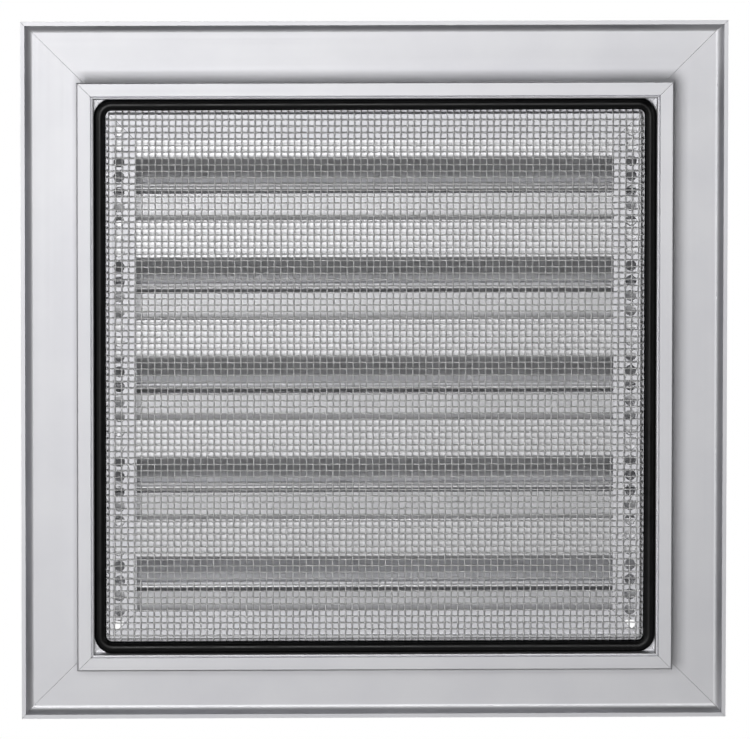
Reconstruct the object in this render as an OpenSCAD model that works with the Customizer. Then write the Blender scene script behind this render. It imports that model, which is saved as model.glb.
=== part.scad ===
// Outdoor wall vent grille: mitred aluminium frame, fixed weather blades,
// and an insect mesh held in a groove by a rubber cord.
// X runs along the blades, Z is up, and +Y is the outdoor side.
// Y = 0 is the plane of the wall, X = Z = 0 the middle of the opening.

/* [Wall opening] */
// Width of the hole in the wall that the neck goes into
wall_opening_w = 300; // [240:10:460]
// Height of the hole in the wall
wall_opening_h = 300; // [240:10:460]
// Room between the neck and the hole, on each side
wall_clearance = 2.5; // [1:0.5:5]

/* [Frame extrusion] */
// How far the flange covers the wall beyond the neck
flange_overlap = 27.5; // [20:0.5:45]
// Thickness of the flange
flange_t = 2; // [1.5:0.1:3]
// Outer radius of the flange's rolled edge
edge_r = 6; // [4:0.5:8]
// How far the neck reaches into the wall
neck_depth = 20; // [18:0.5:26]
// Thickness of the neck's wall
web_t = 1.8; // [1.4:0.1:3]
// How far the rear rim stands out over the neck's wall
rim_lip_w = 6.7; // [5:0.1:10]
// Thickness of the rear rim
rim_t = 1.8; // [1.4:0.1:2.6]
// Width of the scribed line along the rim
rim_line_w = 0.8; // [0.4:0.1:1.2]
// Depth of the scribed line
rim_line_d = 0.5; // [0.2:0.1:0.8]
// Thickness of the groove's floor
groove_floor_t = 1.4; // [1:0.1:2]
// Thickness of the groove's inner wall
groove_wall_t = 2; // [1.4:0.1:3]
// Width of the ledge between the groove and the clear opening
ledge_w = 11.8; // [10:0.2:16]
// Thickness of the ledge
ledge_t = 1.5; // [1:0.1:2]
// Step from the top of the groove's inner wall down to the ledge
ledge_step = 1.9; // [1.5:0.1:2.5]
// Radius of the small fillets and rounded edges
small_r = 0.8; // [0.4:0.1:0.9]
// Open hairline left at each mitre
mitre_gap = 0.2; // [0.1:0.05:0.4]

/* [Punched ledge holes] */
// Diameter of the holes in the side ledges
punch_d = 5.4; // [4:0.2:6]
// Distance between two holes
punch_pitch = 7.5; // [7:0.5:12]
// Distance from the clear opening's edge to the row
punch_inset = 8.5; // [7:0.5:8.5]
// Height of the first hole above the middle
punch_start = 2.5; // [0:0.5:7]

/* [Blades] */
// Wanted distance from one blade to the next
blade_pitch_wanted = 50; // [45:1:60]
// Thickness of a blade
blade_t = 1.5; // [1.2:0.1:1.8]
// Height of the straight rear upstand
upstand_h = 18.8; // [16:0.1:22]
// Height of the straight front lip
drip_h = 18.5; // [14:0.5:20]
// Slope of the blade's middle, in degrees from upright
slope_angle = 43; // [38:1:46]
// How far the front lip lies behind the flange's face
blade_recess = 2.6; // [2.6:0.1:4]
// Radius of the bends, at the middle of the thickness
bend_r = 1.75; // [1.5:0.05:2.5]
// Gap between the ledge and the blades' upstands
upstand_gap = 2.1; // [1.2:0.1:2.2]
// Free height above the top blade
top_gap = 10.9; // [8:0.1:16]
// Free height below the bottom blade
bottom_gap = 12.7; // [9:0.1:18]
// Gap at each end of a blade
blade_end_gap = 0.1; // [0.05:0.05:0.5]

/* [Screws] */
// Diameter of the blades' screw ports
port_d = 3.6; // [3:0.1:3.8]
// Wall of a screw port
port_wall = 0.85; // [0.7:0.05:0.9]
// Width of the slit along a port
port_slit = 2.4; // [1.6:0.1:2.6]
// Play of a screw in its port, on each side
port_play = 0.05; // [0.05:0.05:0.15]
// Diameter of the screw holes in the neck's wall
screw_hole_d = 4.2; // [4:0.1:4.6]
// Length of a screw under its head
screw_len = 13; // [9:1:20]
// Diameter of a screw's head
screw_head_d = 6.8; // [6:0.1:6.9]
// Height of a screw's head
screw_head_h = 2; // [1.4:0.1:2.4]

/* [Corner cleats] */
// Length of a cleat's legs
cleat_leg = 22; // [14:1:22]
// Thickness of a cleat
cleat_t = 3; // [2:0.5:4]
// Play of a cleat between the rim and the flange, in all
cleat_play = 0.2; // [0.1:0.1:0.6]

/* [Cord and mesh] */
// Diameter of the rubber cord
cord_d = 6; // [5:0.5:8]
// How far the cord lies below the rim
cord_sunk = 0.8; // [0.4:0.1:1.5]
// Radius of the cord's middle line round a corner
cord_corner_r = 6; // [5:0.5:9]
// Diameter of the mesh wire
wire_d = 0.7; // [0.6:0.05:1]
// Room in the groove for the mesh's bent edge
hem_room = 1.2; // [1.1:0.1:1.6]
// Depth of the mesh's outer face below the rim
mesh_sunk = 0.4; // [0.2:0.1:0.6]
// Strands across the width: the real mesh has a wire every 3.2 mm,
// and here a strand of two wires stands for seven or eight of them
strands_w = 10; // [5:1:10]
// Strands up the height
strands_h = 9; // [5:1:9]
// Distance between the two wires of a strand
strand_wire_gap = 3.2; // [2.4:0.1:4]

/* [Hidden] */
$fn = 48;
tiny = 0.01;
big = 2000;
// How far a cutting shape reaches past what it cuts
cut_over = 1;
// Facets of the flange's large rolled edge
roll_fn = 96;
// Least distance from a mitre to the middle of the last punched hole
punch_end_gap = 1;
// Direction that the upper port's slit opens in, the lower one's is opposite
slit_angle = 20;
// Part of a screw head's height that its rounded edge takes
head_round = 0.6;
// Part of its room in the groove that the mesh's bent edge fills
hem_part = 0.8;

// Half sizes, counted outwards from the middle, for width [0] and height [1]
neck_half = [wall_opening_w / 2 - wall_clearance, wall_opening_h / 2 - wall_clearance];
groove_w = cord_d + hem_room;

// Distances from the neck's outside, inwards, to each part of the section
at_web_out = rim_lip_w;
at_web_in = at_web_out + web_t;
at_groove_in = at_web_in + groove_w;
at_ledge = at_groove_in + groove_wall_t;
at_opening = at_ledge + ledge_w;

// Places along Y
rim_y = -neck_depth;
groove_floor_y = rim_y + cord_sunk + cord_d;
web_clear_y = groove_floor_y + groove_floor_t;
mesh_t = 2 * wire_d;
mesh_y = rim_y + mesh_sunk;
groove_wall_y = mesh_y + mesh_t;
ledge_y = groove_wall_y + ledge_step;
flange_back_y = edge_r - flange_t;
flange_front_y = edge_r;
upstand_y = ledge_y + ledge_t + upstand_gap;

// Blade
blade_run = flange_front_y - blade_recess - upstand_y - blade_t;
bend_run = bend_r * (1 - cos(slope_angle));
bend_drop = bend_r * sin(slope_angle);
slope_len = (blade_run - 2 * bend_run) / sin(slope_angle);
slope_drop = slope_len * cos(slope_angle);
blade_h = upstand_h + 2 * bend_drop + slope_drop + drip_h;
inner_h = 2 * (neck_half[1] - at_web_in);
stack_h = inner_h - top_gap - bottom_gap - blade_h;
blade_count = 1 + round(stack_h / blade_pitch_wanted);
blade_pitch = stack_h / (blade_count - 1);
top_blade_z = neck_half[1] - at_web_in - top_gap;
blade_half_len = neck_half[0] - at_web_in - blade_end_gap;
port_out_r = port_d / 2 + port_wall;
// A port's middle lies this far from the two faces that it grows out of
port_reach = port_out_r - port_wall / 2;
upper_port = concave_corner(blade_t, -upstand_h, 1);
lower_port = concave_corner(blade_run, -blade_h + drip_h, -1);

// Middle of a port that touches the upright face at y and the slope that meets it
// side = 1 is in front of the upper bend, side = -1 behind the lower bend
function concave_corner(y, z, side) =
    let (half = (180 - slope_angle) / 2, bend_y = side * port_reach)
    [y + bend_y, z + side * (port_reach / tan(half) - blade_t / 2 * tan(slope_angle / 2))];

// Z of the top of blade i, the first one at the top
function blade_z(i) = top_blade_z - (i - 1) * blade_pitch;

// Section of the frame: x is the distance out from the neck's outside
// (negative is inwards), y the depth, with the wall plane at 0
module frame_section() {
    difference() {
        union() {
            rolled_flange();
            // neck wall
            translate([-at_web_in, rim_y]) square([web_t, flange_front_y - rim_y]);
            // rear rim
            translate([-at_web_in, rim_y]) square([at_web_in - small_r, rim_t]);
            translate([-2 * small_r, rim_y]) rounded_bar(2 * small_r, rim_t);
            // groove floor and inner wall
            translate([-at_ledge, groove_floor_y]) square([groove_w + groove_wall_t + tiny, groove_floor_t]);
            translate([-at_ledge, groove_wall_y]) square([groove_wall_t, web_clear_y - groove_wall_y]);
            // ledge
            translate([-at_opening, ledge_y]) square([ledge_w + tiny, ledge_t]);
        }
        // scribed line along the rim, between the neck wall and the lip
        translate([-at_web_out - rim_line_w / 2, rim_y])
            polygon([[-rim_line_w / 2, -tiny], [rim_line_w / 2, -tiny], [0, rim_line_d]]);
        // rounded edges of the rim and of the groove's inner wall
        translate([-at_web_in, rim_y]) edge_cut(small_r, 0);
        translate([-at_groove_in, groove_wall_y]) edge_cut(small_r, 90);
    }
    // fillet between the neck wall and the flange
    translate([-at_web_out, flange_back_y]) rotate(-90) corner_fill(small_r);
}

// Flange with its outer edge rolled back to the wall
module rolled_flange() {
    roll_x = flange_overlap - edge_r;
    translate([-at_web_in, flange_back_y]) square([at_web_in + roll_x + tiny, flange_t]);
    intersection() {
        translate([roll_x, 0]) difference() {
            circle(r = edge_r, $fn = roll_fn);
            circle(r = edge_r - flange_t, $fn = roll_fn);
        }
        translate([roll_x, 0]) square([edge_r, edge_r]);
    }
}

// Bar along +x with its far end rounded
module rounded_bar(w, t) {
    square([w - small_r, t]);
    translate([w - small_r, small_r]) circle(r = small_r);
    translate([w - small_r, t - small_r]) circle(r = small_r);
    translate([w - small_r, small_r]) square([small_r, t - 2 * small_r]);
}

// What is taken off a square corner at the origin that opens to +x +y, turned by a
module edge_cut(r, a) {
    rotate(a) difference() {
        translate([-tiny, -tiny]) square(r + tiny);
        translate([r, r]) circle(r = r);
    }
}

// What fills an inner corner at the origin that opens to +x +y
module corner_fill(r) {
    difference() {
        translate([-tiny, -tiny]) square(r + tiny);
        translate([r, r]) circle(r = r);
    }
}

// Length of the frame extrusion along X with its section out to +Z, cut at 45 degrees
// out: neck's half size across the run, along: half size along the run
module frame_member(out, along) {
    reach = along + flange_overlap;
    rise = out + flange_overlap;
    end = reach - mitre_gap / 2;
    depth = flange_overlap + at_opening + cut_over;
    intersection() {
        rotate([90, 0, 90]) linear_extrude(2 * reach, center = true)
            translate([0, out]) rotate(90) mirror([0, 1]) frame_section();
        rotate([90, 0, 0]) linear_extrude(big, center = true)
            polygon([
                [-end, rise],
                [end, rise],
                [end - depth, rise - depth],
                [depth - end, rise - depth]
            ]);
    }
}

module frame_top() {
    color("#c9c9cd") frame_member(neck_half[1], neck_half[0]);
}

module frame_bottom() {
    color("#bfbfc4") mirror([0, 0, 1]) frame_member(neck_half[1], neck_half[0]);
}

// Side of the frame: the extrusion on end, punched for the screws and along the ledge
module frame_side() {
    row_x = neck_half[0] - at_opening + punch_inset;
    row_end = neck_half[1] - at_opening + punch_inset - punch_end_gap;
    lowest = ceil((-row_end - punch_start) / punch_pitch);
    highest = floor((row_end - punch_start) / punch_pitch);
    difference() {
        rotate([0, 90, 0]) frame_member(neck_half[0], neck_half[1]);
        for (k = [lowest:highest])
            translate([row_x, ledge_y - cut_over, punch_start + k * punch_pitch])
                rotate([-90, 0, 0]) cylinder(d = punch_d, h = ledge_t + 2 * cut_over);
        screw_places() translate([0, 0, -web_t - cut_over])
            cylinder(d = screw_hole_d, h = web_t + 2 * cut_over);
    }
}

module frame_right() {
    color("#b9b9be") frame_side();
}

module frame_left() {
    color("#d2d2d8") mirror([1, 0, 0]) frame_side();
}

// Puts its children on the outside of the right neck wall at each screw, Z out to +X
module screw_places() {
    for (i = [1:blade_count], port = [upper_port, lower_port])
        translate([neck_half[0] - at_web_out, upstand_y + port[0], blade_z(i) + port[1]])
            rotate([0, 90, 0]) children();
}

// Section of a blade: x is the depth from the upstand's rear face, y goes up,
// with the top of the blade at 0
module blade_section() {
    mid = blade_t / 2;
    bend_z = -upstand_h;
    lip_z = -blade_h + drip_h;
    difference() {
        union() {
            // rear upstand and front lip
            translate([0, bend_z]) square([blade_t, upstand_h - mid]);
            translate([mid, -mid]) circle(d = blade_t);
            translate([blade_run, -blade_h + mid]) square([blade_t, drip_h - mid]);
            translate([blade_run + mid, -blade_h + mid]) circle(d = blade_t);
            // bends
            translate([mid + bend_r, bend_z]) bend_arc(180);
            translate([blade_run + mid - bend_r, lip_z]) bend_arc(0);
            // slope
            translate([mid + bend_run, bend_z - bend_drop]) rotate(slope_angle - 90)
                translate([-tiny, -mid]) square([slope_len + 2 * tiny, blade_t]);
            translate(upper_port) circle(r = port_out_r);
            translate(lower_port) circle(r = port_out_r);
        }
        port_cut(upper_port, slit_angle);
        port_cut(lower_port, slit_angle + 180);
    }
}

// Arc of blade thickness that starts at the given angle and turns by the slope's angle
module bend_arc(start) {
    intersection() {
        difference() {
            circle(r = bend_r + blade_t / 2);
            circle(r = bend_r - blade_t / 2);
        }
        rotate(start) polygon([
            [0, 0],
            [2 * bend_r, -tiny],
            [2 * bend_r, 2 * bend_r * tan(slope_angle)],
            [2 * bend_r * cos(slope_angle), 2 * bend_r * sin(slope_angle)]
        ]);
    }
}

// Bore of a screw port with its slit open towards the given angle
module port_cut(place, towards) {
    translate(place) {
        circle(d = port_d);
        rotate(towards) translate([0, -port_slit / 2]) square([2 * port_out_r, port_slit]);
    }
}

// One blade, its rear notched at both ends to clear the groove
module louvre_blade(i) {
    notch_from = neck_half[0] - at_ledge - blade_end_gap;
    notch_depth = web_clear_y - upstand_y + 2 * blade_end_gap;
    color("#c6c6c8") translate([0, upstand_y, blade_z(i)]) difference() {
        rotate([90, 0, 90]) linear_extrude(2 * blade_half_len, center = true) blade_section();
        for (end = [0, 1]) mirror([end, 0, 0]) translate([notch_from, -cut_over, 0]) {
            translate([0, 0, -blade_h]) cube([blade_half_len, cut_over + notch_depth, 2 * blade_h]);
            translate([0, 0, upper_port[1] + port_out_r])
                cube([blade_half_len, cut_over + blade_t + tiny, upstand_h]);
        }
    }
}

// Pan-head screw, its head on the face at Z = 0 and its shank down to -Z
module pan_screw() {
    shank_r = port_d / 2 - port_play;
    head_r = screw_head_d / 2;
    dome_r = screw_head_h * head_round;
    difference() {
        union() {
            translate([0, 0, -screw_len]) cylinder(r = shank_r, h = screw_len + tiny);
            rotate_extrude() {
                square([head_r - dome_r, screw_head_h]);
                square([head_r, screw_head_h - dome_r]);
                translate([head_r - dome_r, screw_head_h - dome_r]) intersection() {
                    circle(r = dome_r);
                    square(dome_r);
                }
            }
        }
        // cross recess
        for (turn = [0, 90]) rotate(turn)
            translate([-head_r / 2, -head_r / 8, screw_head_h / 2])
                cube([head_r, head_r / 4, screw_head_h]);
    }
}

module blade_screws_right() {
    color("#9a9aa0") screw_places() pan_screw();
}

module blade_screws_left() {
    color("#9a9aa0") mirror([1, 0, 0]) screw_places() pan_screw();
}

// Angle piece in the corner channel between the rim and the flange, at +X +Z
module corner_cleat() {
    x = neck_half[0] - at_web_out;
    z = neck_half[1] - at_web_out;
    y_from = rim_y + rim_t + cleat_play / 2;
    y_to = flange_back_y - small_r - cleat_play / 2;
    color("#8f9094") translate([x, y_to, z]) rotate([90, 0, 0])
        linear_extrude(y_to - y_from) difference() {
            translate([-cleat_leg, -cleat_leg]) square(cleat_leg + cleat_t);
            translate([-cleat_leg - cut_over, -cleat_leg - cut_over]) square(cleat_leg + cut_over);
        }
}

// Rubber cord all the way round in the groove, bent round the corners
module mesh_cord() {
    mid = at_web_in + cord_d / 2;
    straight = [neck_half[0] - mid - cord_corner_r, neck_half[1] - mid - cord_corner_r];
    color("#17171a") translate([0, groove_floor_y - cord_d / 2, 0]) {
        for (end = [0, 1]) mirror([0, 0, end]) {
            translate([0, 0, neck_half[1] - mid]) rotate([0, 90, 0])
                cylinder(d = cord_d, h = 2 * straight[0], center = true);
        }
        for (end = [0, 1]) mirror([end, 0, 0]) {
            translate([neck_half[0] - mid, 0, 0])
                cylinder(d = cord_d, h = 2 * straight[1], center = true);
        }
        for (across = [0, 1], up = [0, 1]) mirror([across, 0, 0]) mirror([0, 0, up])
            translate([straight[0], 0, straight[1]]) rotate([90, 0, 0])
                rotate_extrude(angle = 90) translate([cord_corner_r, 0]) circle(d = cord_d);
    }
}

// Woven wire mesh as one pierced sheet with a woven relief, and its bent edge
module insect_mesh() {
    reach = hem_room * (1 + hem_part) / 2 - at_groove_in;
    half = [neck_half[0] + reach, neck_half[1] + reach];
    hem_t = hem_room * hem_part;
    hem_deep = (groove_floor_y - groove_wall_y) * hem_part;
    corner = cord_corner_r - cord_d / 2 + hem_room;
    layer = mesh_t / 3;
    color("#dcdcdc") {
        // pierced sheet at the middle of the weave
        mesh_layer(layer, layer) difference() {
            rounded_sheet(half, corner);
            strand_windows(half);
        }
        // relief towards the inside of the wall, then towards the blades
        mesh_layer(0, layer + tiny) strand_relief(half, 0);
        mesh_layer(2 * layer - tiny, layer + tiny) strand_relief(half, 1);
        // edge bent into the groove on each side
        for (end = [0, 1]) mirror([0, 0, end])
            translate([-half[0] + corner, mesh_y + layer, half[1] - hem_t])
                cube([2 * (half[0] - corner), hem_deep + mesh_t - layer, hem_t]);
        for (end = [0, 1]) mirror([end, 0, 0])
            translate([half[0] - hem_t, mesh_y + layer, -half[1] + corner])
                cube([hem_t, hem_deep + mesh_t - layer, 2 * (half[1] - corner)]);
    }
}

// Stands a flat outline upright, from a depth below the mesh's outer face
module mesh_layer(depth, thick) {
    translate([0, mesh_y + depth + thick, 0]) rotate([90, 0, 0]) linear_extrude(thick) children();
}

// Flat outline of the mesh with its corners cut round for the cord's bends
module rounded_sheet(half, corner) {
    difference() {
        translate(-half) square(2 * half);
        for (across = [0, 1], up = [0, 1]) mirror([across, 0]) mirror([0, up])
            translate(half - [corner, corner]) difference() {
                square(corner + cut_over);
                circle(r = corner);
            }
    }
}

// Half size of the woven field, inside a plain border over the groove's wall
function field(half) = [for (h = half) h - hem_room - groove_wall_t];

// Place of strand k when n of them divide a field of half size h evenly
function strand_at(k, n, h) = -h + 2 * k * h / (n + 1);

// Openings between the strands
module strand_windows(half) {
    f = field(half);
    strand_half = strand_wire_gap / 2 + wire_d;
    for (i = [0:strands_w], j = [0:strands_h]) {
        x0 = strand_at(i, strands_w, f[0]) + (i > 0 ? strand_half : 0);
        x1 = strand_at(i + 1, strands_w, f[0]) - (i < strands_w ? strand_half : 0);
        z0 = strand_at(j, strands_h, f[1]) + (j > 0 ? strand_half : 0);
        z1 = strand_at(j + 1, strands_h, f[1]) - (j < strands_h ? strand_half : 0);
        translate([x0, z0]) square([x1 - x0, z1 - z0]);
    }
}

// Wires that lie on one face: at each crossing the upright or the level strand,
// in turn, as in a plain weave
module strand_relief(half, face) {
    f = field(half);
    step = [2 * f[0] / (strands_w + 1), 2 * f[1] / (strands_h + 1)];
    for (i = [1:strands_w], j = [1:strands_h])
        translate([strand_at(i, strands_w, f[0]), strand_at(j, strands_h, f[1])])
            if ((i + j + face) % 2 == 0) wire_pair(step[1]);
            else rotate(90) wire_pair(step[0]);
}

// Two wires side by side, upright, reaching half way to the next crossing
module wire_pair(length) {
    for (side = [-1, 1])
        translate([side * strand_wire_gap / 2 - wire_d / 2, -length / 2]) square([wire_d, length]);
}

frame_top();
frame_bottom();
frame_left();
frame_right();
for (i = [1:blade_count]) louvre_blade(i);
corner_cleat();  // cleat_top_right
mirror([1, 0, 0]) corner_cleat();  // cleat_top_left
mirror([0, 0, 1]) corner_cleat();  // cleat_bottom_right
mirror([1, 0, 0]) mirror([0, 0, 1]) corner_cleat();  // cleat_bottom_left
insect_mesh();
mesh_cord();
blade_screws_left();
blade_screws_right();
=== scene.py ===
"""Outdoor wall vent grille: finishes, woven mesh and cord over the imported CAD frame.

X runs along the blades, Z is up, -Y is the wall side with the mesh, +Y the
weather side. Y = 0 is the plane of the wall. Sizes are in millimetres, apart
from names that end in _m, the lamps and the floor, which are in metres.
"""
import logging
from dataclasses import dataclass
from enum import Enum
from math import cos, pi, radians, sin

import bpy
import numpy as np
from mathutils import Matrix, Vector


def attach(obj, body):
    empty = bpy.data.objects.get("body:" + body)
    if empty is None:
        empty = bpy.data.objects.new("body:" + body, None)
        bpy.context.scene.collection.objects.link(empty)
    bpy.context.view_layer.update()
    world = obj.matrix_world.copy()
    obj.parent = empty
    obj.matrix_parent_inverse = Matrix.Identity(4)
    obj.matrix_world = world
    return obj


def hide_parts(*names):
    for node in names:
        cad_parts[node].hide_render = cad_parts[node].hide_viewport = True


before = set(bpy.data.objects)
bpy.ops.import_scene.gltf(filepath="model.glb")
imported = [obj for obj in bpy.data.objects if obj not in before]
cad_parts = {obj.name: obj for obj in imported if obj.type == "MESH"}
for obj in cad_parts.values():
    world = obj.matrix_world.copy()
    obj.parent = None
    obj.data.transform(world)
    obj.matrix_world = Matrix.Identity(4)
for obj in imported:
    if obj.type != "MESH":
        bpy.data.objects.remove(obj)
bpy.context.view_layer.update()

LOG = logging.getLogger("vent_grille")
MM = 0.001
PHOTO_WIDTH = 750
# A noise texture's usual low and high values
NOISE_RANGE = {"From Min": 0.3, "From Max": 0.7}
# A colour mix node keeps its colour sockets after its number sockets
MIX_COLOUR_A, MIX_COLOUR_B, MIX_COLOUR_OUT = 6, 7, 2


# ---------------------------------------------------------------- small tools

def linear(hex_colour: str) -> tuple[float, float, float, float]:
    """Turns an sRGB hex colour into linear light.

    Formula: c / 12.92 below 0.04045, and ((c + 0.055) / 1.055) ** 2.4 above.

    Args:
        hex_colour: six hex digits, with or without a leading #.

    Returns:
        Red, green, blue and an alpha of 1.
    """
    digits = hex_colour.lstrip("#")
    srgb = np.array([int(digits[i:i + 2], 16) / 255 for i in (0, 2, 4)])
    low = srgb / 12.92
    high = ((srgb + 0.055) / 1.055) ** 2.4
    red, green, blue = np.where(srgb <= 0.04045, low, high)
    return float(red), float(green), float(blue), 1.0


def add_node(tree: bpy.types.NodeTree, kind: str, inputs: dict | None = None,
             **settings: object) -> bpy.types.Node:
    """Adds one node, sets it up and links it.

    Args:
        tree: the node tree that it goes into.
        kind: the node's type name, such as "ShaderNodeTexNoise".
        inputs: socket name or index to a value, or to another node's socket.
        settings: the node's own properties.

    Returns:
        The new node.
    """
    node = tree.nodes.new(kind)
    for name, value in settings.items():
        setattr(node, name, value)
    for name, value in (inputs or {}).items():
        if isinstance(value, bpy.types.NodeSocket):
            tree.links.new(value, node.inputs[name])
        else:
            node.inputs[name].default_value = value
    return node


def new_material(name: str) -> tuple[bpy.types.Material, bpy.types.NodeTree]:
    """Makes a material with an empty node tree, and returns both."""
    material = bpy.data.materials.new(name)
    material.use_nodes = True
    tree = material.node_tree
    tree.nodes.clear()
    return material, tree


def object_place(tree: bpy.types.NodeTree) -> bpy.types.NodeSocket:
    """Adds the object's own coordinates to a node tree."""
    return add_node(tree, "ShaderNodeTexCoord").outputs["Object"]


def spread_roughness(tree: bpy.types.NodeTree, noise: bpy.types.NodeSocket, middle: float,
                     spread: tuple[float, float]) -> bpy.types.NodeSocket:
    """Turns a noise into a roughness from middle - spread[0] to middle + spread[1]."""
    return add_node(tree, "ShaderNodeMapRange", {
        "Value": noise, **NOISE_RANGE,
        "To Min": middle - spread[0], "To Max": middle + spread[1]}).outputs[0]


def mixed_colour(tree: bpy.types.NodeTree, factor: bpy.types.NodeSocket,
                 first: str, second: str) -> bpy.types.NodeSocket:
    """Blends two sRGB hex colours by a factor from 0 to 1."""
    mix = add_node(tree, "ShaderNodeMix", {"Factor": factor}, data_type="RGBA")
    mix.inputs[MIX_COLOUR_A].default_value = linear(first)
    mix.inputs[MIX_COLOUR_B].default_value = linear(second)
    return mix.outputs[MIX_COLOUR_OUT]


def finish_material(tree: bpy.types.NodeTree, inputs: dict) -> None:
    """Adds the principled shader with the given inputs, and the output."""
    shader = add_node(tree, "ShaderNodeBsdfPrincipled", inputs)
    add_node(tree, "ShaderNodeOutputMaterial", {"Surface": shader.outputs[0]})


def grid_faces(rows: int, columns: int, close_rows: bool, close_columns: bool) -> np.ndarray:
    """Quads of a grid of points that is stored row by row.

    Formula: the face at row r and column c joins (r, c), (r, c + 1),
    (r + 1, c + 1) and (r + 1, c), counted round where the grid closes.

    Args:
        rows: number of rows of points.
        columns: number of points in a row.
        close_rows: True joins the last row to the first.
        close_columns: True joins the last column to the first.

    Returns:
        An array of four point numbers for each face.
    """
    r = np.arange(rows if close_rows else rows - 1)[:, None]
    c = np.arange(columns if close_columns else columns - 1)[None, :]
    r_next, c_next = (r + 1) % rows, (c + 1) % columns
    corners = [r * columns + c, r * columns + c_next,
               r_next * columns + c_next, r_next * columns + c]
    return np.stack([np.broadcast_to(x, (r.size, c.size)) for x in corners], -1).reshape(-1, 4)


def mesh_piece(name: str, points: np.ndarray, faces: np.ndarray) -> bpy.types.Object:
    """Makes a smooth mesh object at the origin.

    Args:
        name: the object's name.
        points: array of points in millimetres, one row each.
        faces: array of point numbers, four to a face.

    Returns:
        The linked object.
    """
    mesh = bpy.data.meshes.new(name)
    mesh.vertices.add(len(points))
    mesh.vertices.foreach_set("co", (points * MM).astype(np.float32).ravel())
    mesh.loops.add(faces.size)
    mesh.loops.foreach_set("vertex_index", faces.astype(np.int32).ravel())
    mesh.polygons.add(len(faces))
    starts = np.arange(0, faces.size, faces.shape[1], dtype=np.int32)
    mesh.polygons.foreach_set("loop_start", starts)
    mesh.update(calc_edges=True)
    mesh.shade_smooth()
    piece = bpy.data.objects.new(name, mesh)
    bpy.context.scene.collection.objects.link(piece)
    return piece


def dress(piece: bpy.types.Object, material: bpy.types.Material) -> None:
    """Gives every material slot of a piece the same material."""
    if not piece.data.materials:
        piece.data.materials.append(material)
    for slot in piece.material_slots:
        slot.material = material


class Grain(Enum):
    """Direction that the extrusion's die lines run in."""

    ALONG_X = "along_x"
    ALONG_Z = "along_z"


# ---------------------------------------------------------------- finishes

@dataclass(frozen=True)
class MillAluminium:
    """Satin aluminium as it leaves the extrusion press.

    Faint die lines run along the length, the sheen is soft, and the grey
    changes a little from place to place.
    """

    name: str
    grain: Grain
    colour: str = "F0F0F3"
    shade: str = "EAEAEE"
    roughness: float = 0.5
    roughness_spread: tuple[float, float] = (0.01, 0.015)
    line_mm: float = 0.9
    line_run_mm: float = 260.0
    bump: float = 0.03
    bump_depth_m: float = 0.0002
    clouds_per_m: float = 18.0
    cloud_range: tuple[float, float] = (0.35, 0.65)

    def material(self) -> bpy.types.Material:
        """Builds the node material.

        Returns:
            The material, named for the finish.
        """
        material, tree = new_material(self.name)
        place = object_place(tree)
        across, along = 1 / (self.line_mm * MM), 1 / (self.line_run_mm * MM)
        scales = {Grain.ALONG_X: (along, across, across), Grain.ALONG_Z: (across, across, along)}
        stretched = add_node(tree, "ShaderNodeMapping", {
            "Vector": place, "Scale": scales[self.grain]})
        lines = add_node(tree, "ShaderNodeTexNoise", {
            "Vector": stretched.outputs[0], "Scale": 1.0, "Detail": 2.0, "Roughness": 0.6})
        clouds = add_node(tree, "ShaderNodeTexNoise", {
            "Vector": place, "Scale": self.clouds_per_m, "Detail": 4.0, "Roughness": 0.55})
        blend = add_node(tree, "ShaderNodeMapRange", {
            "Value": clouds.outputs["Fac"],
            "From Min": self.cloud_range[0], "From Max": self.cloud_range[1]})
        relief = add_node(tree, "ShaderNodeBump", {
            "Height": lines.outputs["Fac"], "Strength": self.bump,
            "Distance": self.bump_depth_m})
        finish_material(tree, {
            "Base Color": mixed_colour(tree, blend.outputs[0], self.colour, self.shade),
            "Metallic": 1.0,
            "Roughness": spread_roughness(
                tree, lines.outputs["Fac"], self.roughness, self.roughness_spread),
            "Normal": relief.outputs[0]})
        return material


@dataclass(frozen=True)
class PlainMetal:
    """Small metal parts: drawn wire, zinc plate and cut aluminium strip."""

    name: str
    colour: str
    roughness: float
    roughness_spread: tuple[float, float] = (0.05, 0.08)
    grain_mm: float = 0.6
    bump: float = 0.1
    bump_depth_m: float = 0.0001
    metallic: float = 1.0

    def material(self) -> bpy.types.Material:
        """Builds the node material.

        Returns:
            The material, with a fine uneven sheen.
        """
        material, tree = new_material(self.name)
        speckle = add_node(tree, "ShaderNodeTexNoise", {
            "Vector": object_place(tree), "Scale": 1 / (self.grain_mm * MM), "Detail": 2.0})
        relief = add_node(tree, "ShaderNodeBump", {
            "Height": speckle.outputs["Fac"], "Strength": self.bump,
            "Distance": self.bump_depth_m})
        finish_material(tree, {
            "Base Color": linear(self.colour), "Metallic": self.metallic,
            "Roughness": spread_roughness(
                tree, speckle.outputs["Fac"], self.roughness, self.roughness_spread),
            "Normal": relief.outputs[0]})
        return material


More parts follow.
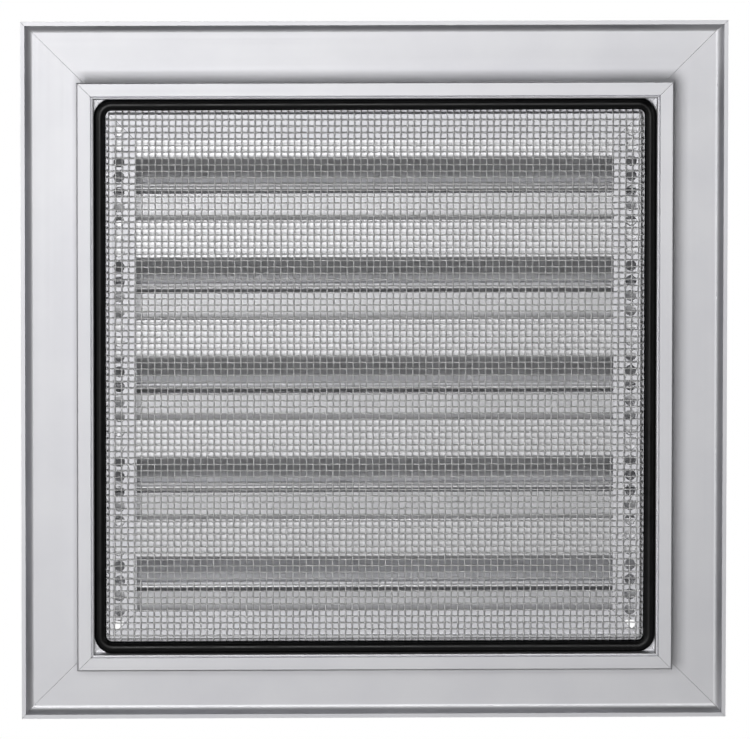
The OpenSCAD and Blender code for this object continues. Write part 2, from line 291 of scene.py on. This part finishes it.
@dataclass(frozen=True)
class CordRubber:
    """Extruded black EPDM cord, smooth with a dull sheen and a little dust."""

    name: str = "black_epdm_rubber"
    colour: str = "0B0B0C"
    dust: str = "2C2C2E"
    roughness: float = 0.34
    roughness_spread: tuple[float, float] = (0.06, 0.1)
    specks_per_m: float = 420.0
    speck_range: tuple[float, float] = (0.66, 0.74)
    waves_per_m: float = 90.0
    bump: float = 0.15
    bump_depth_m: float = 0.0003
    sheen: float = 0.35

    def material(self) -> bpy.types.Material:
        """Builds the node material.

        Returns:
            The material, with sparse pale dust specks.
        """
        material, tree = new_material(self.name)
        place = object_place(tree)
        specks = add_node(tree, "ShaderNodeTexNoise", {
            "Vector": place, "Scale": self.specks_per_m, "Detail": 3.0, "Roughness": 0.7})
        spots = add_node(tree, "ShaderNodeMapRange", {
            "Value": specks.outputs["Fac"],
            "From Min": self.speck_range[0], "From Max": self.speck_range[1]})
        soft = add_node(tree, "ShaderNodeTexNoise", {
            "Vector": place, "Scale": self.waves_per_m, "Detail": 2.0})
        relief = add_node(tree, "ShaderNodeBump", {
            "Height": soft.outputs["Fac"], "Strength": self.bump,
            "Distance": self.bump_depth_m})
        finish_material(tree, {
            "Base Color": mixed_colour(tree, spots.outputs[0], self.colour, self.dust),
            "Metallic": 0.0,
            "Roughness": spread_roughness(
                tree, soft.outputs["Fac"], self.roughness, self.roughness_spread),
            "IOR": 1.5, "Specular IOR Level": self.sheen, "Normal": relief.outputs[0]})
        return material


# ---------------------------------------------------------------- sub-assemblies

@dataclass
class Frame:
    """Four mitred lengths of the frame extrusion, kept from the CAD."""

    level_nodes: tuple[str, ...] = ("frame_top", "frame_bottom")
    upright_nodes: tuple[str, ...] = ("frame_left", "frame_right")

    def dress(self) -> None:
        """Gives each member satin aluminium with its die lines along its length."""
        level = MillAluminium("mill_aluminium_frame_level", Grain.ALONG_X).material()
        upright = MillAluminium("mill_aluminium_frame_upright", Grain.ALONG_Z).material()
        for names, material in ((self.level_nodes, level), (self.upright_nodes, upright)):
            for name in names:
                dress(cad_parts[name], material)
                LOG.info("dressed %s", name)


@dataclass
class Blades:
    """The weather blades, kept from the CAD."""

    prefix: str = "blade_"
    screw_prefix: str = "blade_screws_"

    def dress(self) -> None:
        """Gives each blade satin aluminium, painted a touch lighter than the frame's, and the
        screws zinc plate.
        """
        # The blade colour and shade are a touch lighter than the frame's: painted light that
        # makes up for the shade the mesh casts on the blades behind it.
        painted_lighter_aluminium = MillAluminium("mill_aluminium_blade", Grain.ALONG_X,
                                  colour="F2F2F4", shade="EDEDEF", roughness=0.38).material()
        zinc = PlainMetal("zinc_plated_steel", "B9BCC0", 0.3).material()
        for name, node in sorted(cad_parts.items()):
            if name.startswith(self.screw_prefix):
                dress(node, zinc)
            elif name.startswith(self.prefix):
                dress(node, painted_lighter_aluminium)
            else:
                continue
            LOG.info("dressed %s", name)


@dataclass
class Cleats:
    """Corner cleats in the channel between the rim and the flange."""

    prefix: str = "cleat_"

    def dress(self) -> None:
        """Gives each cleat cut aluminium strip."""
        strip = PlainMetal("cut_aluminium_strip", "B4B5B8", 0.45, grain_mm=1.2).material()
        for name, node in sorted(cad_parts.items()):
            if name.startswith(self.prefix):
                dress(node, strip)
                LOG.info("dressed %s", name)


@dataclass
class WovenMesh:
    """Plain-weave wire mesh with its edge bent into the frame's groove.

    Pairs hold the value for the upright wires, spaced along X, and then for
    the level wires, spaced along Z. The lean is the sideways slope of a wire.
    """

    wire_d: float = 0.7
    middle_y: float = -18.85
    pitch: tuple[float, float] = (3.2714, 3.19)
    lean: tuple[float, float] = (0.0038, -0.0017)
    start: tuple[float, float] = (2.25, 4.05)
    crimp: tuple[float, float] = (0.45, 0.25)
    reach: float = 132.4
    bend_r: float = 1.1
    hem_y: float = -14.2
    field: float = 130.9
    sides: int = 6
    bend_steps: int = 3
    bend_clearance: float = 0.3

    def crossings(self, axis: int) -> np.ndarray:
        """Numbers of the wires spaced along one axis, 0 at the start point.

        Args:
            axis: 0 for wires spaced along X, 1 for wires spaced along Z.

        Returns:
            Whole numbers k, for wires at start + k * pitch inside the field.
        """
        low = int(np.ceil((-self.field - self.start[axis]) / self.pitch[axis]))
        high = int(np.floor((self.field - self.start[axis]) / self.pitch[axis]))
        return np.arange(low, high + 1)

    def wire_path(self, axis: int) -> tuple[np.ndarray, np.ndarray, np.ndarray]:
        """Middle line that all wires of one direction share, before the weave.

        Formula: flat along the mesh, then a quarter circle of bend_r at each
        end, then straight into the groove to hem_y.

        Args:
            axis: 0 for wires that are spaced along X and run along Z.

        Returns:
            Distance along the mesh, depth, and weave phase (within a quarter
            of a crossing's number, and not a number in the bends).
        """
        cross = self.crossings(1 - axis)
        # Two points at each crossing, a quarter of the pitch to either side
        phase = (cross[:, None] + np.array([-0.25, 0.25])).ravel()
        along = self.start[1 - axis] + phase * self.pitch[1 - axis]
        flat_end = self.reach - self.bend_r
        inner = np.abs(along) < flat_end - self.bend_clearance
        along, phase = along[inner], phase[inner]
        turn = np.linspace(0, pi / 2, self.bend_steps + 1)
        out = np.r_[flat_end + self.bend_r * np.sin(turn), self.reach]
        deep = np.r_[self.middle_y + self.bend_r * (1 - np.cos(turn)), self.hem_y]
        none = np.full(len(out), np.nan)
        return (np.r_[-out[::-1], along, out],
                np.r_[deep[::-1], np.full(len(along), self.middle_y), deep],
                np.r_[none, phase, none])

    def wires(self, axis: int) -> tuple[np.ndarray, np.ndarray]:
        """All wires of one direction, as one array of tubes.

        Formula: depth = middle + crimp * sign at each crossing, where the sign
        is +1 if wire number plus crossing number is even, for level wires, and
        the opposite for upright ones; each tube is a row of rings of points
        round that path, and the wire's place sideways is start + k * pitch +
        lean * distance along it.

        Args:
            axis: 0 for upright wires, 1 for level wires.

        Returns:
            Points in millimetres and faces.
        """
        numbers = self.crossings(axis)
        along, deep, phase = self.wire_path(axis)
        crossing = np.nan_to_num(np.round(phase)).astype(int)
        sign = np.where((numbers[:, None] + crossing[None, :]) % 2 == 0, 1.0, -1.0)
        if axis == 0:
            sign = -sign
        woven = np.where(np.isnan(phase)[None, :], 0.0, sign * self.crimp[axis])
        depth = deep[None, :] + woven
        d_along = np.gradient(along)[None, :]
        d_deep = np.gradient(depth, axis=1)
        length = np.hypot(d_along, d_deep)
        normal_along, normal_deep = -d_deep / length, d_along / length
        angle = (np.arange(self.sides) + 0.5) * 2 * pi / self.sides
        radius = self.wire_d / 2
        up, side = radius * np.cos(angle), radius * np.sin(angle)
        ring_along = along[None, :, None] + normal_along[..., None] * up
        ring_deep = depth[..., None] + normal_deep[..., None] * up
        place = (self.start[axis] + numbers * self.pitch[axis])[:, None, None]
        ring_side = place + side + self.lean[axis] * ring_along
        x, z = (ring_side, ring_along) if axis == 0 else (ring_along, ring_side)
        points = np.stack((x, ring_deep, z), -1)
        wires, steps = points.shape[:2]
        faces = grid_faces(steps, self.sides, False, True)
        if axis == 0:
            faces = faces[:, ::-1]
        offset = (np.arange(wires) * steps * self.sides)[:, None, None]
        return points.reshape(-1, 3), (faces[None] + offset).reshape(-1, 4)

    def build(self) -> None:
        """Makes the upright and the level wires and dresses them."""
        wire = PlainMetal("galvanised_wire", "F0F0F0", 0.4, grain_mm=2.0, bump=0.02,
                          metallic=0.5).material()
        for axis, name in ((0, "mesh_upright_wires"), (1, "mesh_level_wires")):
            piece = mesh_piece(name, *self.wires(axis))
            dress(piece, wire)
            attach(piece, "root")
            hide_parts("insect_mesh")
            LOG.info("%s: %d faces", name, len(piece.data.polygons))


@dataclass
class GrooveCord:
    """Rubber cord all round the groove, bent round its corners."""

    diameter: float = 6.0
    middle_y: float = -16.2
    line: float = 136.0
    corner_r: float = 6.0
    straight_steps: int = 60
    corner_steps: int = 14
    sides: int = 28
    unevenness: float = 0.04
    wave_rates: tuple[float, float] = (0.35, 0.13)
    wave_shift: float = 2.0

    def build(self) -> None:
        """Sweeps the cord's round section along a square with round corners.

        Formula: the middle line is straight to line - corner_r, then turns on
        a quarter circle; a ring of points at angle a lies r * cos(a) outwards
        and r * sin(a) towards the wall side, with r changed by a few slow waves.
        """
        flat = self.line - self.corner_r
        quarters = []
        for k in range(4):
            run = np.linspace(-flat, flat, self.straight_steps, endpoint=False)
            turn = np.linspace(0, pi / 2, self.corner_steps, endpoint=False)
            x = np.r_[np.full(run.size, self.line), flat + self.corner_r * np.cos(turn)]
            z = np.r_[run, flat + self.corner_r * np.sin(turn)]
            nx = np.r_[np.ones(run.size), np.cos(turn)]
            nz = np.r_[np.zeros(run.size), np.sin(turn)]
            c, s = cos(k * pi / 2), sin(k * pi / 2)
            quarters.append(np.stack([c * x - s * z, s * x + c * z,
                                      c * nx - s * nz, s * nx + c * nz], -1))
        x, z, nx, nz = np.concatenate(quarters).T
        step = np.arange(x.size)
        fast, slow = self.wave_rates
        wave = np.sin(step * fast) + np.sin(step * slow + self.wave_shift)
        radius = (self.diameter / 2 - self.unevenness) + 0.5 * self.unevenness * wave
        angle = np.arange(self.sides) * 2 * pi / self.sides
        out, deep = np.cos(angle), np.sin(angle)
        reach = radius[:, None] * out
        points = np.stack([x[:, None] + nx[:, None] * reach,
                           self.middle_y - radius[:, None] * deep,
                           z[:, None] + nz[:, None] * reach], -1)
        faces = grid_faces(x.size, self.sides, True, True)
        piece = mesh_piece("groove_cord", points.reshape(-1, 3), faces)
        dress(piece, CordRubber().material())
        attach(piece, "root")
        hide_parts("mesh_cord")
        LOG.info("groove_cord: %d faces", len(faces))


# ---------------------------------------------------------------- studio

@dataclass(frozen=True)
class SoftLight:
    """A square soft light: its place and side in metres, and its power."""

    name: str
    place: tuple[float, float, float]
    size: float
    watts: float


@dataclass
class Studio:
    """Camera, lights, surroundings and floor, none of them part of the object."""

    azimuth: float = 1.406
    elevation: float = 9.487
    roll: float = 0.057
    distance_mm: float = 8391.0
    focal_px: float = 16931.0
    aim: tuple[float, float] = (0.39, 0.55)
    sensor_mm: float = 36.0
    clip_m: float = 100.0
    floor_z: float = -0.45
    floor_size: float = 2.4
    floor_colour: str = "C4C4C4"
    # Grey of the surroundings in front and below, and how soft its edge is
    glow: float = 0.01
    glow_edge: float = 0.5
    lamps: tuple[SoftLight, ...] = (
        SoftLight("side_light_left", (-1.45, -1.2, 0.25), 0.9, 3.0),
        SoftLight("side_light_right", (1.45, -1.2, 0.25), 0.9, 1.5),
        SoftLight("high_side_left", (-1.0, -1.2, 1.0), 0.9, 0.5),
        SoftLight("front_light", (-0.3, -2.4, 0.25), 0.8, 17.5),
        SoftLight("back_light", (0.4, 1.4, 1.8), 0.9, 10.0),
        SoftLight("back_side_light", (-1.9, 1.0, 0.5), 0.9, 5.0),
    )

    def camera(self) -> None:
        """Places a far camera that frames the part as the photograph does.

        Formula: it looks along (sin az cos el, cos az cos el, -sin el) at the
        aim point, from the given distance, turned by the roll.
        """
        az, el, roll = (radians(a) for a in (self.azimuth, self.elevation, self.roll))
        look = Vector((sin(az) * cos(el), cos(az) * cos(el), -sin(el)))
        aim = Vector((self.aim[0], 0.0, self.aim[1])) * MM
        right = Vector((cos(az), -sin(az), 0.0))
        up = right.cross(look)
        turned_right = right * cos(roll) + up * sin(roll)
        turned_up = up * cos(roll) - right * sin(roll)
        data = bpy.data.cameras.new("photo_camera")
        data.sensor_fit = "HORIZONTAL"
        data.sensor_width = self.sensor_mm
        data.lens = self.focal_px * data.sensor_width / PHOTO_WIDTH
        data.clip_end = self.clip_m
        data.dof.use_dof = False
        camera = bpy.data.objects.new("photo_camera", data)
        turn = Matrix((turned_right, turned_up, -look)).transposed().to_4x4()
        camera.matrix_world = Matrix.Translation(aim - look * self.distance_mm * MM) @ turn
        bpy.context.scene.collection.objects.link(camera)
        bpy.context.scene.camera = camera

    def soft_light(self, light: SoftLight) -> None:
        """Adds one square soft light that faces the origin, inside the object."""
        data = bpy.data.lights.new(light.name, "AREA")
        data.shape = "SQUARE"
        data.size = light.size
        data.energy = light.watts
        place = Vector(light.place)
        lamp = bpy.data.objects.new(light.name, data)
        facing = (-place).to_track_quat("-Z", "Y").to_matrix().to_4x4()
        lamp.matrix_world = Matrix.Translation(place) @ facing
        bpy.context.scene.collection.objects.link(lamp)

    def lights(self) -> None:
        """Adds the soft lights of the wall side and of the weather side, all white."""
        for light in self.lamps:
            self.soft_light(light)

    def world(self) -> None:
        """Surroundings that are white where they are seen directly.

        As a source of light they are black, but for a faint glow in front and
        below, and the lamps do the rest.

        Formula: the strength is 1 for camera and transmission rays, and for
        the others glow * low * front, where low and front each go from 1 to 0
        as the ray's height and depth go from -glow_edge to glow_edge.
        """
        world = bpy.data.worlds.new("pale_surroundings")
        bpy.context.scene.world = world
        world.use_nodes = True
        tree = world.node_tree
        tree.nodes.clear()
        direction = add_node(tree, "ShaderNodeTexCoord").outputs["Generated"]
        parts = add_node(tree, "ShaderNodeSeparateXYZ", {"Vector": direction})
        low = add_node(tree, "ShaderNodeMapRange", {
            "Value": parts.outputs["Z"], "From Min": -self.glow_edge, "From Max": self.glow_edge,
            "To Min": self.glow, "To Max": 0.0})
        front = add_node(tree, "ShaderNodeMapRange", {
            "Value": parts.outputs["Y"], "From Min": -self.glow_edge, "From Max": self.glow_edge,
            "To Min": 1.0, "To Max": 0.0})
        around = add_node(tree, "ShaderNodeMath", {
            0: low.outputs[0], 1: front.outputs[0]}, operation="MULTIPLY")
        ray = add_node(tree, "ShaderNodeLightPath")
        seen = add_node(tree, "ShaderNodeMath", {
            0: ray.outputs["Is Camera Ray"], 1: ray.outputs["Is Transmission Ray"]},
            operation="MAXIMUM")
        strength = add_node(tree, "ShaderNodeMix", {
            "Factor": seen.outputs[0], "A": around.outputs[0], "B": 1.0}, data_type="FLOAT")
        background = add_node(tree, "ShaderNodeBackground", {
            "Color": linear("FFFFFF"), "Strength": strength.outputs[0]})
        add_node(tree, "ShaderNodeOutputWorld", {"Surface": background.outputs[0]})

    def floor(self) -> None:
        """Pale floor well below the part, which is fixed up on its wall."""
        half = self.floor_size / 2
        mesh = bpy.data.meshes.new("studio_floor")
        mesh.from_pydata([(-half, -half, self.floor_z), (half, -half, self.floor_z),
                          (half, half, self.floor_z), (-half, half, self.floor_z)],
                         [], [(0, 1, 2, 3)])
        floor = bpy.data.objects.new("studio_floor", mesh)
        bpy.context.scene.collection.objects.link(floor)
        material, tree = new_material("pale_floor_paint")
        finish_material(tree, {"Base Color": linear(self.floor_colour), "Roughness": 0.9})
        dress(floor, material)

    def build(self) -> None:
        """Sets up the whole studio."""
        bpy.context.scene.view_settings.view_transform = "Standard"
        self.camera()
        self.lights()
        self.world()
        self.floor()


def main() -> None:
    """Builds the studio and dresses the part, piece by piece."""
    logging.basicConfig(level=logging.INFO, format="%(name)s: %(message)s")
    Studio().build()
    Frame().dress()
    Blades().dress()
    Cleats().dress()
    WovenMesh().build()
    GrooveCord().build()


if __name__ == "__main__":
    main()
